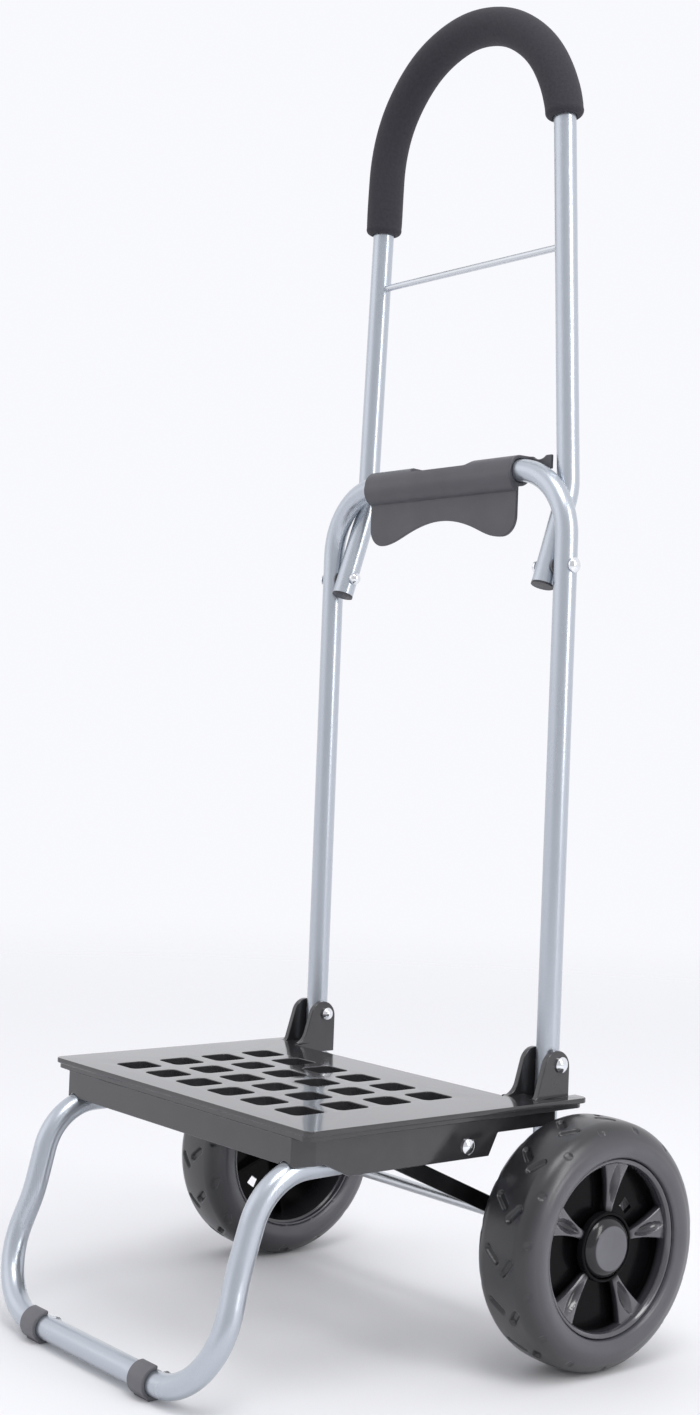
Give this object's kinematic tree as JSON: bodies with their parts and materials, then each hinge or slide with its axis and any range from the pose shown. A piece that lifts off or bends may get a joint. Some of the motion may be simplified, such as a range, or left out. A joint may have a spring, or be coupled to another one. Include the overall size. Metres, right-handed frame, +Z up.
{
  "type": "folding hand trolley",
  "caption": "Folding luggage trolley: silver tube frame with a fold-down arched handle, a slotted plastic deck that folds up with its tube stand, and spoked wheels on a through axle.",
  "frame": {"origin": "on the floor, under the middle of the bounding box", "axes": "+Z up; +X to the right seen from the front, along the axle; -Y to the front, where the deck and stand reach; +Y to the rear, behind the wheels"},
  "size_m": [0.394, 0.367, 0.9507],
  "materials": {
    "silver_tube": "satin",
    "bright_steel": "polished",
    "zinc_hardware": "polished",
    "foam": "matte",
    "deck_plastic": "gloss",
    "lock_plastic": "satin",
    "black_fitting": "satin",
    "black_steel": "satin",
    "tyre": "satin",
    "rim_plastic": "satin",
    "cap_plastic": "gloss"
  },
  "bodies": {
    "frame": {"axle": "bright_steel", "axle_clip_left": "zinc_hardware", "axle_clip_right": "zinc_hardware", "handle_bolt_left": "zinc_hardware", "handle_bolt_right": "zinc_hardware", "handle_nut_left": "zinc_hardware", "handle_nut_right": "zinc_hardware", "handle_spacer_left": "black_fitting", "handle_spacer_right": "black_fitting", "link_washer_left": "zinc_hardware", "link_washer_right": "zinc_hardware", "lower_frame_tube": "silver_tube", "push_nut_left": "zinc_hardware", "push_nut_right": "zinc_hardware", "upright_plug_left": "black_fitting", "upright_plug_right": "black_fitting", "wheel_spacer_left": "black_fitting", "wheel_spacer_right": "black_fitting"},
    "handle": {"foam_grip": "foam", "handle_cross_rod": "bright_steel", "handle_plug_left": "black_fitting", "handle_plug_right": "black_fitting", "handle_tube": "silver_tube"},
    "lock": {"handle_lock": "lock_plastic"},
    "platform": {"deck": "deck_plastic", "hinge_bolt_left": "zinc_hardware", "hinge_bolt_right": "zinc_hardware", "hinge_nut_left": "zinc_hardware", "hinge_nut_right": "zinc_hardware", "stand_bolt_left": "zinc_hardware", "stand_bolt_right": "zinc_hardware", "stand_nut_left": "zinc_hardware", "stand_nut_right": "zinc_hardware", "stand_spacer_left": "black_fitting", "stand_spacer_right": "black_fitting"},
    "stand": {"clip_rivet_left": "zinc_hardware", "clip_rivet_right": "zinc_hardware", "foot_clip_left": "black_fitting", "foot_clip_right": "black_fitting", "link_stud_left": "zinc_hardware", "link_stud_right": "zinc_hardware", "stand_plug_left": "black_fitting", "stand_plug_right": "black_fitting", "stand_tube": "silver_tube"},
    "link_left": {"link_bar_left": "black_steel", "link_rivet_left": "zinc_hardware"},
    "link_right": {"link_bar_right": "black_steel", "link_rivet_right": "zinc_hardware"},
    "wheel_left": {"hub_cap_left": "cap_plastic", "rim_left": "rim_plastic", "tyre_left": "tyre", "wheel_bush_left": "black_fitting"},
    "wheel_right": {"hub_cap_right": "cap_plastic", "rim_right": "rim_plastic", "tyre_right": "tyre", "wheel_bush_right": "black_fitting"}
  },
  "joints": [
    {"name": "platform_fold", "type": "hinge", "parent": "frame", "child": "platform", "pos_m": [0, 0.10105, 0.1944], "axis": [-1, 0, 0], "range_deg": [0, 90]},
    {"name": "stand_fold", "type": "hinge", "parent": "platform", "child": "stand", "pos_m": [0, 0.01975, 0.1476], "axis": [1, 0, 0], "range_deg": [0, 158.1]},
    {"name": "link_left_swing", "type": "hinge", "parent": "frame", "child": "link_left", "pos_m": [0, 0.10105, 0.0825], "axis": [-1, 0, 0], "range_deg": [0, 39.6]},
    {"name": "link_right_swing", "type": "hinge", "parent": "frame", "child": "link_right", "pos_m": [0, 0.10105, 0.0825], "axis": [-1, 0, 0], "range_deg": [0, 39.6]},
    {"name": "handle_fold", "type": "hinge", "parent": "frame", "child": "handle", "pos_m": [0, 0.10105, 0.533], "axis": [-1, 0, 0], "range_deg": [0, 165]},
    {"name": "lock_rock", "type": "hinge", "parent": "frame", "child": "lock", "pos_m": [0, 0.10105, 0.602], "axis": [-1, 0, 0], "range_deg": [0, 30]},
    {"name": "wheel_spin_left", "type": "hinge", "parent": "frame", "child": "wheel_left", "pos_m": [0, 0.10105, 0.0825], "axis": [1, 0, 0], "continuous": true},
    {"name": "wheel_spin_right", "type": "hinge", "parent": "frame", "child": "wheel_right", "pos_m": [0, 0.10105, 0.0825], "axis": [1, 0, 0], "continuous": true}
  ],
  "couplings": [
    {"joint": "stand_fold", "follows": "platform_fold", "ratio": 1.7561},
    {"joint": "link_left_swing", "follows": "platform_fold", "ratio": 0.43912},
    {"joint": "link_right_swing", "follows": "platform_fold", "ratio": 0.43912}
  ]
}
